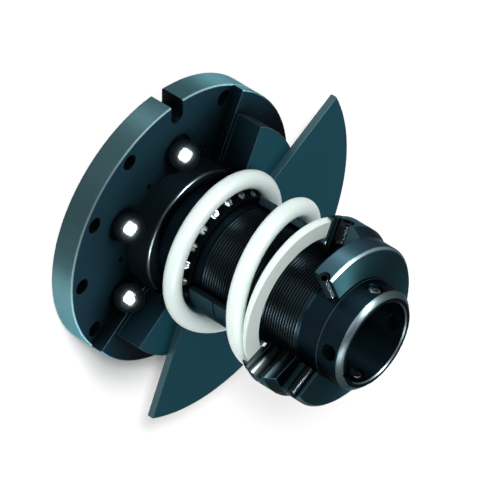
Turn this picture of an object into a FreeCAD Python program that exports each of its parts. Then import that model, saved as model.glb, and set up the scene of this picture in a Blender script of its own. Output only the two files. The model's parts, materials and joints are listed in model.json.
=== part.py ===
import FreeCAD, Part
import math
import os

from FreeCAD import Vector

# Torque limiter with ball detents, cut open as the picture shows it. Millimetres.
# The shaft runs along +Z, Z=0 is the flat back of the drive flange, and -Y faces the open side.

# Running and seating clearances, and how far a cutting tool passes the face it cuts
RUN_GAP = 0.05
FACE_GAP = 0.2
PLAY = 0.5
PAST = 2.0

# Shaft and hub
BORE_R = 17.5
KEYWAY_W = 10.0
KEYWAY_DEPTH = 1.8
THREAD_R = 22.5
THREAD_PITCH = 1.25
THREAD_DEPTH = 0.55 * THREAD_PITCH
SHOULDER_R = 32.0
SHOULDER_T = 3.5
COLLAR_R = 28.0
COLLAR_CHAMFER = 1.2
NECK_R = 21.2
END_R = 21.8
END_BEVEL = 2.2
END_COLLAR_L = 12.4
END_SCREW_R = 3.4
END_SCREW_INSET = 6.2
END_SCREW_TURN = 50.4
END_SCREW_SINK = 1.3

# Drive flange and its balls
FLANGE_R = 60.0
FLANGE_T = 11.3
RIM_INSET = 6.0
RIM_HOLE_R = 3.3
RIM_PLACES = 12
GRID_TURN = 4.0
SLOT_PLACE = 8
PIN_INSET = 4.5
PIN_HOLE_R = 1.2
PIN_HOLE_DEPTH = 4.0
BALL_R = 6.0
BALL_COUNT = 6
BALL_WEB = 2.3
BALL_RISE = 4.0
SOCKET_R = 7.2
SOCKET_DEPTH = 1.0
CAGE_PLATE_T = 5.5

# Slide plate: detent ring, drum and trip disc
DRUM_R = 50.7
DETENT_RING_T = 1.4
DRUM_T = 11.8
DETENT_ANGLE = 45.0
DETENT_DEPTH = 5.6
TRIP_R = 77.7
TRIP_T = 3.1
SLIDE_KEY_W = 8.0
SLIDE_KEY_H = 3.0
SLIDE_KEY_L = 6.8
SLIDE_KEY_TURN = 112.0
LIFT = 2.2

# Roller guide and guide sleeve on the hub's land
ROLLER_R = 1.9
ROLLER_L = 9.8
ROLLER_COUNT = 20
CAGE_WALL = 0.75
POCKET_GAP = 0.02
ROLLER_END = 0.6
GUIDE_OVERHANG = 7.9
RETAINER_T = 0.7
RETAINER_R = 24.9
LAND_SHOW = 2.1
SLEEVE_BORE_R = 23.0
SLEEVE_R = 25.8
SLEEVE_L = 25.0
SLEEVE_GROOVE_W = 1.1
SLEEVE_GROOVE_D = 0.8
SLEEVE_GROOVE_AT = 11.8

# Coil spring, closed and ground at both ends
WIRE_R = 3.8
COIL_R = 30.6
SPRING_L = 46.2
SPRING_FROM = 76.4
SPRING_TURNS = 2.77
TIP_RISE = 0.7
CLOSED_SLOPE = 5.0
OPEN_SLOPE_NEAR = 44.0
OPEN_SLOPE_FAR = 28.6
TOP_SLOPE = 6.4
OPEN_FROM = 0.71
OPEN_FULL = 0.93
OPEN_LAST = 1.68
CLOSED_FROM = 1.94
STATIONS_PER_TURN = 12

# Nut side
SEAT_T = 0.8
SEAT_RIM_H = 2.1
SEAT_RIM_GAP = 0.4
SEAT_RIM_T = 1.0
NUT_R = 37.0
NUT_RIM_L = 9.7
NUT_CONE_L = 4.2
NUT_CONE_IN = 2.4
NUT_SCREW_R = 3.0
NUT_SCREW_L = 10.0
LOCK_R = 35.0
LOCK_L = 9.2
LOCK_CHAMFER = 1.2
LOCK_SCREW_R = 2.5
LOCK_SCREW_INSET = 4.0

# Where each piece is cut open, as (from, to) directions in degrees
PLATE_CUT = (-142.4, 10.0)
PLATE_APEX = (-15.2, -3.5)
TRIP_CUT = (-177.3, 40.5)
TRIP_APEX = (15.0, 4.7)
SLEEVE_CUT = (-153.6, -24.6)
NUT_CUT = (-143.0, 8.0)
LOCK_CUT = (-93.8, 2.5)

# Heights that follow from the sizes above
CAGE_PLATE_TOP = FLANGE_T + CAGE_PLATE_T
BALL_Z = FLANGE_T + BALL_RISE
RING_Z = CAGE_PLATE_TOP + FACE_GAP
DRUM_Z = RING_Z + DETENT_RING_T
TRIP_Z = DRUM_Z + DRUM_T
SPRING_Z = TRIP_Z + TRIP_T
SEAT_Z = SPRING_Z + SPRING_L
NUT_Z = SEAT_Z + SEAT_T
NUT_CONE_Z = NUT_Z + NUT_RIM_L
NUT_TOP = NUT_CONE_Z + NUT_CONE_L
NUT_SCREW_Z = NUT_Z + NUT_RIM_L / 2
LOCK_Z = NUT_TOP + PLAY
LOCK_TOP = LOCK_Z + LOCK_L
LOCK_SCREW_Z = LOCK_TOP - LOCK_SCREW_INSET
COLLAR_TOP = FLANGE_T + 2 * CAGE_PLATE_T
LAND_TOP = SPRING_Z + GUIDE_OVERHANG + RETAINER_T + LAND_SHOW
END_COLLAR_Z = LOCK_TOP + FACE_GAP
HUB_LENGTH = END_COLLAR_Z + END_COLLAR_L
END_SCREW_Z = HUB_LENGTH - END_SCREW_INSET
ROLLER_PITCH_R = THREAD_R + ROLLER_R + RUN_GAP
ROLLER_TOP = SPRING_Z + GUIDE_OVERHANG
RIM_PITCH_R = FLANGE_R - RIM_INSET
BALL_PITCH_R = COLLAR_R + BALL_WEB + BALL_R
PIN_PITCH_R = BALL_PITCH_R - PIN_INSET
SEAT_BORE_R = COIL_R - WIRE_R - SEAT_RIM_T
SEAT_POCKET_R = COIL_R + WIRE_R + SEAT_RIM_GAP
SEAT_R = SEAT_POCKET_R + SEAT_RIM_T
LOCK_BORE_R = END_R + FACE_GAP
REACH = 2 * TRIP_R


def polar(radius, degrees, z=0.0):
    turn = math.radians(degrees)
    return Vector(radius * math.cos(turn), radius * math.sin(turn), z)


def revolve(profile):
    points = [Vector(r, 0, z) for r, z in profile]
    face = Part.Face(Part.makePolygon(points + [points[0]]))
    return face.revolve(Vector(0, 0, 0), Vector(0, 0, 1), 360)


def ring(inner, outer, low, high, edge=0.0):
    return revolve([
        (inner, low),
        (outer - edge, low),
        (outer, low + edge),
        (outer, high - edge),
        (outer - edge, high),
        (inner, high),
    ]) if edge else revolve([(inner, low), (outer, low), (outer, high), (inner, high)])


def wedge(cut, apex=(0.0, 0.0)):
    start, stop = cut
    steps = 4
    centre = Vector(apex[0], apex[1], -PAST)
    rim = [centre + polar(REACH, start + (stop - start) * i / steps) for i in range(steps + 1)]
    face = Part.Face(Part.makePolygon([centre] + rim + [centre]))
    return face.extrude(Vector(0, 0, HUB_LENGTH + PAST))


def radial_rod(radius, inner, outer, degrees, z):
    return Part.makeCylinder(radius, outer - inner, polar(inner, degrees, z), polar(1, degrees))


def hex_prism(across_flats, inner, outer, degrees, z):
    corner = across_flats / math.sqrt(3)
    out = polar(1, degrees)
    side = polar(1, degrees + 90)
    centre = polar(inner, degrees, z)
    corners = []
    for i in range(6):
        turn = math.radians(60 * i)
        corners.append(centre + side * (corner * math.cos(turn)) + Vector(0, 0, corner * math.sin(turn)))
    face = Part.Face(Part.makePolygon(corners + [corners[0]]))
    return face.extrude(out * (outer - inner))


def set_screw(radius, inner, outer, degrees, z):
    tip = 0.35 * radius
    body = radial_rod(radius, inner + tip, outer, degrees, z)
    cone = Part.makeCone(radius - tip, radius, tip, polar(inner, degrees, z), polar(1, degrees))
    socket = hex_prism(radius, outer - 0.45 * (outer - inner), outer + PAST, degrees, z)
    return body.fuse(cone).cut(socket)


def around(count, first, shape_at):
    return [shape_at(first + i * 360.0 / count) for i in range(count)]


def hub():
    thread_root = THREAD_R - THREAD_DEPTH / 2
    profile = [
        (BORE_R, 0),
        (SHOULDER_R, 0),
        (SHOULDER_R, SHOULDER_T),
        (COLLAR_R, SHOULDER_T),
        (COLLAR_R, COLLAR_TOP - COLLAR_CHAMFER),
        (COLLAR_R - COLLAR_CHAMFER, COLLAR_TOP),
        (THREAD_R, COLLAR_TOP),
        (THREAD_R, LAND_TOP),
        (thread_root, LAND_TOP + THREAD_DEPTH / 2),
        (thread_root, NUT_TOP - 0.4),
        (NECK_R, NUT_TOP + 0.4),
        (NECK_R, END_COLLAR_Z - 0.4),
        (END_R - 0.3, END_COLLAR_Z),
        (END_R, END_COLLAR_Z + 0.3),
        (END_R, HUB_LENGTH - END_BEVEL),
        (END_R - END_BEVEL, HUB_LENGTH),
        (BORE_R + 0.5, HUB_LENGTH),
        (BORE_R, HUB_LENGTH - 0.5),
    ]
    body = revolve(profile)
    corner = Vector(0, -KEYWAY_W / 2, -PAST)
    keyway = Part.makeBox(BORE_R + KEYWAY_DEPTH, KEYWAY_W, HUB_LENGTH + 2 * PAST, corner)
    body = body.cut([keyway, slide_key()])
    low, high = BORE_R - PAST, END_R + PAST
    taps = around(4, END_SCREW_TURN, lambda a: radial_rod(END_SCREW_R, low, high, a, END_SCREW_Z))
    return body.cut(taps)


def hub_set_screws():
    size = END_SCREW_R - RUN_GAP
    inner, outer = BORE_R + FACE_GAP, END_R - END_SCREW_SINK
    return around(4, END_SCREW_TURN, lambda a: set_screw(size, inner, outer, a, END_SCREW_Z))


def slide_key_box(side, low, high, gap=0.0):
    key = Part.makeBox(side + gap, SLIDE_KEY_W + 2 * gap, high - low)
    key.translate(Vector(THREAD_R - SLIDE_KEY_H / 2, -SLIDE_KEY_W / 2 - gap, low))
    key.rotate(Vector(0, 0, 0), Vector(0, 0, 1), SLIDE_KEY_TURN)
    return key


def slide_key():
    top = ROLLER_TOP - ROLLER_L - 2 * FACE_GAP
    return slide_key_box(SLIDE_KEY_H, top - SLIDE_KEY_L, top)


def flange_places():
    return [GRID_TURN + i * 360.0 / RIM_PLACES for i in range(RIM_PLACES)]


def ball_angles():
    return [GRID_TURN + i * 360.0 / BALL_COUNT for i in range(BALL_COUNT)]


def rim_slot(degrees):
    through = FLANGE_T + 2 * PAST
    end = Part.makeCylinder(RIM_HOLE_R, through, Vector(RIM_PITCH_R, 0, -PAST))
    run = Part.makeBox(RIM_INSET + PAST, 2 * RIM_HOLE_R, through, Vector(RIM_PITCH_R, -RIM_HOLE_R, -PAST))
    slot = end.fuse(run)
    slot.rotate(Vector(0, 0, 0), Vector(0, 0, 1), degrees)
    return slot


def drive_flange():
    seat = SHOULDER_R + RUN_GAP
    bore = COLLAR_R + RUN_GAP
    body = revolve([
        (seat, 0),
        (FLANGE_R - 0.8, 0),
        (FLANGE_R, 0.8),
        (FLANGE_R, FLANGE_T - 0.6),
        (FLANGE_R - 0.6, FLANGE_T),
        (bore, FLANGE_T),
        (bore, SHOULDER_T + RUN_GAP),
        (seat, SHOULDER_T + RUN_GAP),
    ])
    tools = []
    for place, angle in enumerate(flange_places()):
        if place == SLOT_PLACE:
            tools.append(rim_slot(angle))
            continue
        tools.append(Part.makeCylinder(RIM_HOLE_R, FLANGE_T + 2 * PAST, polar(RIM_PITCH_R, angle, -PAST)))
    for angle in ball_angles():
        tools.append(Part.makeSphere(BALL_R + RUN_GAP, polar(BALL_PITCH_R, angle, BALL_Z)))
        tools.append(Part.makeCylinder(SOCKET_R, PAST, polar(BALL_PITCH_R, angle, FLANGE_T - SOCKET_DEPTH)))
        pin = polar(PIN_PITCH_R, angle + 30, FLANGE_T - PIN_HOLE_DEPTH)
        tools.append(Part.makeCylinder(PIN_HOLE_R, PIN_HOLE_DEPTH + PAST, pin))
    return body.cut(tools)


def ball_cage_plate():
    plate = ring(COLLAR_R + PLAY, FLANGE_R, FLANGE_T, CAGE_PLATE_TOP, 0.4)
    tools = [wedge(PLATE_CUT, PLATE_APEX)]
    for angle in ball_angles():
        tools.append(Part.makeCylinder(BALL_R + RUN_GAP, 2 * CAGE_PLATE_TOP, polar(BALL_PITCH_R, angle)))
    return plate.cut(tools)


def detent_cones():
    slope = math.radians(DETENT_ANGLE)
    lift = RUN_GAP / math.cos(slope)
    touch_z = BALL_Z + BALL_R * math.cos(slope) + lift
    touch_r = BALL_R * math.sin(slope)
    mouth_z = RING_Z - 1.0
    mouth_r = touch_r + (touch_z - mouth_z) / math.tan(slope)
    depth = DETENT_DEPTH + 1.0
    floor_r = mouth_r - depth / math.tan(slope)
    return [
        Part.makeCone(mouth_r, floor_r, depth, polar(BALL_PITCH_R, angle, mouth_z))
        for angle in ball_angles()
    ]


def detent_ring():
    plate = ring(COLLAR_R + PLAY, DRUM_R - 0.3, RING_Z, DRUM_Z)
    return plate.cut(detent_cones() + [wedge(PLATE_CUT, PLATE_APEX)])


def guide_bore():
    return ROLLER_PITCH_R + ROLLER_R + RUN_GAP


def pressure_drum():
    neck_low = COLLAR_TOP + LIFT
    neck_high = ROLLER_TOP - ROLLER_L - FACE_GAP
    bore = THREAD_R + RUN_GAP
    body = revolve([
        (COLLAR_R + PLAY, DRUM_Z),
        (DRUM_R, DRUM_Z),
        (DRUM_R, TRIP_Z - 0.5),
        (DRUM_R - 0.5, TRIP_Z),
        (guide_bore(), TRIP_Z),
        (guide_bore(), neck_high),
        (bore, neck_high),
        (bore, neck_low),
        (COLLAR_R + PLAY, neck_low),
    ])
    keyway = slide_key_box(SLIDE_KEY_H, neck_low - PAST, neck_high + PAST, RUN_GAP)
    return body.cut(detent_cones() + [wedge(PLATE_CUT, PLATE_APEX), keyway])


def trip_disc():
    plate = ring(guide_bore(), TRIP_R, TRIP_Z, SPRING_Z, 0.3)
    return plate.cut(wedge(TRIP_CUT, TRIP_APEX))


def roller_places():
    return [i * 360.0 / ROLLER_COUNT for i in range(ROLLER_COUNT)]


def guide_rollers():
    low = ROLLER_TOP - ROLLER_L + ROLLER_END
    length = ROLLER_L - 2 * ROLLER_END
    return [Part.makeCylinder(ROLLER_R, length, polar(ROLLER_PITCH_R, a, low)) for a in roller_places()]


def guide_cage():
    low = ROLLER_TOP - ROLLER_L
    wall = ring(ROLLER_PITCH_R - CAGE_WALL, ROLLER_PITCH_R + CAGE_WALL, low, ROLLER_TOP)
    pocket_low = low + ROLLER_END - RUN_GAP
    pocket_l = ROLLER_L - 2 * (ROLLER_END - RUN_GAP)
    starts = [polar(ROLLER_PITCH_R, angle, pocket_low) for angle in roller_places()]
    return wall.cut([Part.makeCylinder(ROLLER_R + POCKET_GAP, pocket_l, start) for start in starts])


def cage_retainer():
    return ring(SLEEVE_BORE_R, RETAINER_R, ROLLER_TOP, ROLLER_TOP + RETAINER_T)


def guide_sleeve():
    low = ROLLER_TOP + RETAINER_T
    high = low + SLEEVE_L
    groove = low + SLEEVE_GROOVE_AT
    floor = SLEEVE_R - SLEEVE_GROOVE_D
    tube = revolve([
        (SLEEVE_BORE_R, low),
        (SLEEVE_R, low),
        (SLEEVE_R, groove),
        (floor, groove),
        (floor, groove + SLEEVE_GROOVE_W),
        (SLEEVE_R, groove + SLEEVE_GROOVE_W),
        (SLEEVE_R, high - 0.4),
        (SLEEVE_R - 0.4, high),
        (SLEEVE_BORE_R, high),
    ])
    return tube.cut(wedge(SLEEVE_CUT))


def coil_slope(turn):
    if turn < OPEN_FROM:
        return CLOSED_SLOPE
    if turn < OPEN_FULL:
        part = (turn - OPEN_FROM) / (OPEN_FULL - OPEN_FROM)
        return CLOSED_SLOPE + part * (OPEN_SLOPE_NEAR - CLOSED_SLOPE)
    if turn < OPEN_LAST:
        part = (turn - OPEN_FULL) / (OPEN_LAST - OPEN_FULL)
        return OPEN_SLOPE_NEAR + part * (OPEN_SLOPE_FAR - OPEN_SLOPE_NEAR)
    if turn < CLOSED_FROM:
        part = (turn - OPEN_LAST) / (CLOSED_FROM - OPEN_LAST)
        return OPEN_SLOPE_FAR + part * (TOP_SLOPE - OPEN_SLOPE_FAR)
    return TOP_SLOPE


def coil_centreline():
    count = round(SPRING_TURNS * STATIONS_PER_TURN)
    step = SPRING_TURNS / count
    z = SPRING_Z + TIP_RISE
    points = [polar(COIL_R, SPRING_FROM, z)]
    for i in range(count):
        z += coil_slope((i + 0.5) * step) * step
        points.append(polar(COIL_R, SPRING_FROM + 360 * (i + 1) * step, z))
    return points


def coil_spring():
    curve = Part.BSplineCurve()
    curve.interpolate(coil_centreline())
    path = Part.Wire(curve.toShape())
    start = curve.value(curve.FirstParameter)
    along = curve.tangent(curve.FirstParameter)[0]
    section = Part.Wire(Part.Circle(start, along, WIRE_R).toShape())
    coil = path.makePipeShell([section], True, True)
    slab = ring(0.0, COIL_R + 2 * WIRE_R, SPRING_Z, SEAT_Z)
    return coil.common(slab)


def spring_seat():
    edge = SEAT_Z - SEAT_RIM_H
    body = revolve([
        (SEAT_BORE_R, SEAT_Z),
        (SEAT_POCKET_R, SEAT_Z),
        (SEAT_POCKET_R, edge),
        (SEAT_R - 0.4, edge),
        (SEAT_R, edge + 0.4),
        (SEAT_R, NUT_Z),
        (SEAT_BORE_R, NUT_Z),
    ])
    return body.cut(wedge(NUT_CUT))


def nut_screw_angles():
    return [NUT_CUT[0], NUT_CUT[1]]


def adjusting_nut():
    bore = THREAD_R - THREAD_DEPTH / 2 + RUN_GAP
    body = revolve([
        (bore, NUT_Z),
        (NUT_R - 0.5, NUT_Z),
        (NUT_R, NUT_Z + 0.5),
        (NUT_R, NUT_CONE_Z),
        (NUT_R - NUT_CONE_IN, NUT_TOP),
        (bore, NUT_TOP),
    ])
    taps = [radial_rod(NUT_SCREW_R, bore - PAST, NUT_R + PAST, a, NUT_SCREW_Z) for a in nut_screw_angles()]
    return body.cut(taps + [wedge(NUT_CUT)])


def nut_set_screws():
    outer = NUT_R - FACE_GAP
    return [set_screw(NUT_SCREW_R, outer - NUT_SCREW_L, outer, a, NUT_SCREW_Z) for a in nut_screw_angles()]


def lock_screw_angles():
    return [LOCK_CUT[0], LOCK_CUT[1]]


def lock_ring():
    body = revolve([
        (LOCK_BORE_R, LOCK_Z),
        (LOCK_R - 0.6, LOCK_Z),
        (LOCK_R, LOCK_Z + 0.6),
        (LOCK_R, LOCK_TOP - LOCK_CHAMFER),
        (LOCK_R - LOCK_CHAMFER, LOCK_TOP),
        (LOCK_BORE_R, LOCK_TOP),
    ])
    low, high = NECK_R - PAST, LOCK_R + PAST
    taps = [radial_rod(LOCK_SCREW_R, low, high, a, LOCK_SCREW_Z) for a in lock_screw_angles()]
    return body.cut(taps + [wedge(LOCK_CUT)])


def lock_screws():
    outer = LOCK_R - 0.6
    return [set_screw(LOCK_SCREW_R, NECK_R, outer, a, LOCK_SCREW_Z) for a in lock_screw_angles()]


def save(name, shape):
    if isinstance(shape, list):
        shape = Part.makeCompound(shape)
    shape.exportStep("parts/" + name + ".step")


def main():
    os.makedirs("parts", exist_ok=True)
    save("hub", hub())
    save("hub_set_screws", hub_set_screws())
    save("slide_key", slide_key())
    save("drive_flange", drive_flange())
    save("ball_cage_plate", ball_cage_plate())
    for number, angle in enumerate(ball_angles(), 1):
        save("detent_ball_" + str(number), Part.makeSphere(BALL_R, polar(BALL_PITCH_R, angle, BALL_Z)))
    save("detent_ring", detent_ring())
    save("pressure_drum", pressure_drum())
    save("trip_disc", trip_disc())
    save("guide_rollers", guide_rollers())
    save("guide_cage", guide_cage())
    save("cage_retainer", cage_retainer())
    save("guide_sleeve", guide_sleeve())
    save("coil_spring", coil_spring())
    save("spring_seat", spring_seat())
    save("adjusting_nut", adjusting_nut())
    save("nut_set_screws", nut_set_screws())
    save("lock_ring", lock_ring())
    save("lock_screws", lock_screws())


main()
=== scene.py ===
import json
import math

import bmesh
import bpy
from mathutils import Matrix, Vector

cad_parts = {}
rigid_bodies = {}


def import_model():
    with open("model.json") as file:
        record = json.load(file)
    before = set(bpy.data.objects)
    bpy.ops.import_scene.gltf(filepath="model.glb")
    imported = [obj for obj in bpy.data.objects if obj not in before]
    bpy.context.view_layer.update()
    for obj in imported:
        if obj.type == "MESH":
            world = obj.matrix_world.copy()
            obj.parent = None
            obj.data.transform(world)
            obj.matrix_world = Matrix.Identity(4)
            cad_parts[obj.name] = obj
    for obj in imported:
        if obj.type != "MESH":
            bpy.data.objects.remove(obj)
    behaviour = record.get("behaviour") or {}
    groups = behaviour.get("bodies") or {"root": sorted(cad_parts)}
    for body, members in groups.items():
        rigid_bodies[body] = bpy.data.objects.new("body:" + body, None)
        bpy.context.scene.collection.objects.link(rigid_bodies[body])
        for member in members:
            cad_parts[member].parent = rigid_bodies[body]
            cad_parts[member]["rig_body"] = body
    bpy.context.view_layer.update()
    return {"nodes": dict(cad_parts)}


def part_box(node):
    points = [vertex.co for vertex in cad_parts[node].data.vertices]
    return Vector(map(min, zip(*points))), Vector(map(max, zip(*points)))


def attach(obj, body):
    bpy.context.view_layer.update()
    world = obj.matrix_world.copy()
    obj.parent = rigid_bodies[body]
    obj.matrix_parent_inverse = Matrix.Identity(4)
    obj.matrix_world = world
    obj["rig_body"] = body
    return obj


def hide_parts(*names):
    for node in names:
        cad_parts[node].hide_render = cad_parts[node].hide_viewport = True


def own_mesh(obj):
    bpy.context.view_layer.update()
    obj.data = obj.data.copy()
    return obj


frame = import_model()
nodes = frame["nodes"]

# Millimetres in the part's own frame: the shaft runs along +Z and the flange's back lies on Z=0
MM = 0.001
UP = Vector((0.0, 0.0, 1.0))

# Hub and its fine thread
BORE_R = 17.5
KEYWAY_W = 10.0
KEYWAY_DEPTH = 1.8
THREAD_R = 22.5
THREAD_PITCH = 1.25
THREAD_DEPTH = 0.55 * THREAD_PITCH
THREAD_IN = 0.5
THREAD_OUT = 0.6
SHOULDER_R = 32.0
SHOULDER_T = 3.5
COLLAR_R = 28.0
COLLAR_TOP = 22.3
COLLAR_ROUND = 1.5
COLLAR_INSIDE_R = THREAD_R - 1.0
COLLAR_FOOT = SHOULDER_T - 0.5
LAND_TOP = 44.0
NUT_TOP = 94.2
NECK_R = 21.2
NECK_TAPER = 0.4
HUB_LENGTH = 116.5
END_R = 21.8
END_BEVEL = 2.2
END_COLLAR_Z = HUB_LENGTH - 12.4
END_EDGE = 0.7
END_SCREW_R = 3.4
END_SCREW_Z = HUB_LENGTH - 6.2
END_SCREW_TURNS = [50.4 + 90 * i for i in range(4)]
END_SCREW_PLAY = 0.05
END_SCREW_FROM = BORE_R + 0.2
END_SCREW_SINK = 1.3
END_SCREW_DEEP = 2.6

# Broken edges of the turned pieces
SMALL_BREAK = 0.3
WIDE_BREAK = 0.5
STEP_BREAK = 0.2
BEVEL_BREAK = 0.15
BEVEL_ROUND = 0.12

# Adjusting nut and spring seat
NUT_CUT = (-140.5, -7.8)
NUT_R = 37.0
NUT_Z = 80.3
NUT_CONE_Z = 90.0
NUT_CONE_IN = 2.4
NUT_PLAY = 0.02
NUT_SCREW_TURNS = (-143.0, 8.0)
NUT_SCREW_R = 3.0
NUT_SCREW_L = 10.0
NUT_SCREW_INSET = 0.2
NUT_SCREW_Z = (NUT_Z + NUT_CONE_Z) / 2
NUT_TAP_R = 3.15
NUT_TAP_FROM = 26.5
HALF_BORE_FROM = THREAD_R + 0.2
HALF_BORE_TO = NUT_R - 0.3
SEAT_BORE_R = 25.8
SEAT_POCKET_R = 34.8
SEAT_R = 35.8
SEAT_EDGE_Z = 77.4
SEAT_BREAK = 0.4

# Lock ring's screws
LOCK_CUT = (-93.8, 2.5)
LOCK_R = 35.0
LOCK_SCREW_R = 2.5
LOCK_SCREW_Z = 99.9
LOCK_SCREW_INSET = 0.6

# Guide between the spring and the hub
ROLLER_R = 1.9
ROLLER_COUNT = 20
ROLLER_ROUND = 0.3
ROLLER_CONE_IN = 1.5
ROLLER_CONE_PAST = 1.0
ROLLER_TURN = 9.0
SLEEVE_GROOVE_AT = 11.8
SLEEVE_GROOVE_W = 1.1
SLEEVE_GROOVE_PLAY = 0.01
SLEEVE_OUTSIDE_R = 24.0

# Balls in the drive flange
BALL_COUNT = 6

# Coil spring: each slope is a turn and the rise there, in millimetres a turn
WIRE_R = 3.8
COIL_R = 30.6
SPRING_Z = 33.3
SEAT_Z = 79.5
SPRING_FROM = 76.4
SPRING_TURNS = 2.77
TIP_RISE = 0.7
SLOPES = [(0.0, 5.0), (0.71, 5.0), (0.93, 44.0), (1.68, 28.6), (1.94, 6.4), (3.0, 6.4)]

# Shape of a thread's ridge, as shares of its pitch and of its depth
RIDGE_SINK = 0.15
RIDGE_FOOT = 0.47
RIDGE_CREST = 0.05
RIDGE_SLOPE = 0.14
RIDGE_SLOPE_DEPTH = 0.85
RIDGE_FADE = 0.5
RIDGE_START_DEPTH = 0.02

# Shape of a set screw, as shares of its radius, pitch or length, and its broken edge
SCREW_TIP = 0.35
SCREW_ROOT = 0.6
SCREW_BREAK = 0.25
SCREW_PLAY = 0.02
SCREW_THREAD_IN = 0.4
SCREW_THREAD_OUT = 0.6
SOCKET_SIDES = 6
SOCKET_DEPTH = 0.45
SOCKET_POINT = 0.4
WIDE_PITCH = 1.0
FINE_PITCH = 0.8

# How far a cutting tool passes the faces it cuts, and the radius of one that opens a turned piece
PAST = 5.0
REACH = 60.0

# How finely round shapes are divided
ROUND_STEPS = 192
FINE_STEPS = 240
THREAD_STEPS = 144
SCREW_STEPS = 48
SCREW_THREAD_STEPS = 40
ROLLER_STEPS = 40
SPRING_STEPS = 96
WIRE_SIDES = 40
ARC_STEPS = 8
COLLAR_ROUND_STEPS = 8
ROLLER_ROUND_STEPS = 5
BALL_SEGMENTS = 64
EDGE_SEGMENTS = 2

# Edges that bend by more than these degrees stay sharp
TURNED_SMOOTH = 32.0
GROUND_SMOOTH = 40.0
ROLLER_SMOOTH = 50.0
THREAD_SMOOTH = 75.0

# How pieces are copied from the solids, and which of their edges are broken
WELD = 0.001
FLAT_ANGLE = 0.6
SHARP_ANGLE = 35.0
CUT_TOLERANCE = 1e-7

# Places of the finishes in a ground piece's list
MAIN, EDGE, RIM, CUT, CHAMFER = range(5)

# How faces are told apart: by how near they lie to a rim or edge, and by where they look
RIM_BAND = 1.5
CHAMFER_BAND = 3.0
NEAR = 0.1
FACING = 0.99
LEVEL = 0.95
UPRIGHT = 0.1
RIM_OUTWARD = 0.7
CUT_OUTWARD = 0.6
BORE_SIDEWAYS = 0.2
CHAMFER_TILT = (0.25, LEVEL)
BEVEL_TILT = (0.2, 0.98)
ROUNDED_TILT = (0.02, 0.98)
CONE_TILT = (0.6, 0.8)

# Gloss and grain of the steel, and its painted shade and painted highlights
EDGE_TINT = (0.6, 0.9, 1.0)
GRAIN_SCALE = 900.0
GRAIN_DETAIL = 3.0
TURNED_ANGLE = 0.25
# Painted shade in corners: its colour, the occlusion it spans from full to none, its darkest share and its
# samples
PAINTED_SHADE_COLOUR = (0.001, 0.002, 0.003, 1.0)
PAINTED_SHADE_CLOSED = 0.45
PAINTED_SHADE_OPEN = 0.98
PAINTED_SHADE_DARKEST = 0.05
PAINTED_SHADE_SAMPLES = 8
# Painted shade that darkens the nut's painted bands towards the shaft: its darkest share, and the places
# along X where it is darkest and where it ends
PAINTED_FADE_DARKEST = 0.05
BORE_PAINTED_FADE = (28.0, 36.0)
CUT_PAINTED_FADE = (27.0, 36.0)

# The Mix node's sockets for colours
MIX_SHARE = 0
MIX_FIRST = 6
MIX_SECOND = 7
MIX_RESULT = 2

# The photograph's camera, found from the object's circles
CAMERA_AIM = (-5.09, -1.33, 47.03)
CAMERA_DISTANCE = 1986.2
CAMERA_AZIMUTH = 14.604
CAMERA_ELEVATION = 29.686
CAMERA_ROLL = 121.361
CAMERA_LENS = 364.3
CAMERA_SENSOR = 36.0
CAMERA_NEAR = 0.01
CAMERA_FAR = 100.0

# Studio, in metres: a floor just under the object, and lamps aimed at its middle
FLOOR_REACH = 12.0
FLOOR_DROP = 0.0002
FLOOR_SHADE = (0.4, 0.4, 0.4, 1.0)
FLOOR_GLOW = 0.005
WORLD_LIGHT = 0.42
WORLD_SEEN = 1.0
LAMP_AIM = Vector((0.0, 0.0, 0.05))
KEY_DISTANCE = 1.6
SHINE_DISTANCE = 1.2
SUN_DISTANCE = 1.0


def outward(degrees):
    turn = math.radians(degrees)
    return Vector((math.cos(turn), math.sin(turn), 0.0))


def direction(azimuth, elevation):
    a = math.radians(azimuth)
    e = math.radians(elevation)
    return Vector((math.sin(a) * math.cos(e), -math.cos(a) * math.cos(e), math.sin(e)))


# Materials

def value(node, name, number):
    node.inputs[name].default_value = number


def spread(tree, source, low, high, to_low, to_high):
    """Maps one range onto another, and gives the socket of the result."""
    node = tree.nodes.new("ShaderNodeMapRange")
    value(node, "From Min", low)
    value(node, "From Max", high)
    value(node, "To Min", to_low)
    value(node, "To Max", to_high)
    tree.links.new(source, node.inputs["Value"])
    return node.outputs["Result"]


def add_turning(tree, shader, strength):
    """Draws the gloss out along the shaft, as the fine grooves of turning do."""
    value(shader, "Anisotropic", strength)
    value(shader, "Anisotropic Rotation", TURNED_ANGLE)
    tangent = tree.nodes.new("ShaderNodeTangent")
    tangent.direction_type = "RADIAL"
    tangent.axis = "Z"
    tree.links.new(tangent.outputs["Tangent"], shader.inputs["Tangent"])


def add_grain(tree, shader, rough, grain):
    """Varies the roughness in fine specks."""
    place = tree.nodes.new("ShaderNodeTexCoord")
    noise = tree.nodes.new("ShaderNodeTexNoise")
    value(noise, "Scale", GRAIN_SCALE)
    value(noise, "Detail", GRAIN_DETAIL)
    tree.links.new(place.outputs["Object"], noise.inputs["Vector"])
    varied = spread(tree, noise.outputs["Fac"], 0.0, 1.0, rough - grain, rough + grain)
    tree.links.new(varied, shader.inputs["Roughness"])


def add_painted_corner_shade(tree, shader, colour, reach):
    """Paints shade into the metal's colour in corners, where other metal stands within reach."""
    corner = tree.nodes.new("ShaderNodeAmbientOcclusion")
    corner.samples = PAINTED_SHADE_SAMPLES
    value(corner, "Distance", reach * MM)
    share = spread(tree, corner.outputs["AO"], PAINTED_SHADE_CLOSED, PAINTED_SHADE_OPEN, PAINTED_SHADE_DARKEST, 1.0)
    mix = tree.nodes.new("ShaderNodeMix")
    mix.data_type = "RGBA"
    mix.inputs[MIX_FIRST].default_value = PAINTED_SHADE_COLOUR
    mix.inputs[MIX_SECOND].default_value = (*colour, 1.0)
    tree.links.new(share, mix.inputs[MIX_SHARE])
    tree.links.new(mix.outputs[MIX_RESULT], shader.inputs["Base Color"])


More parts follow.
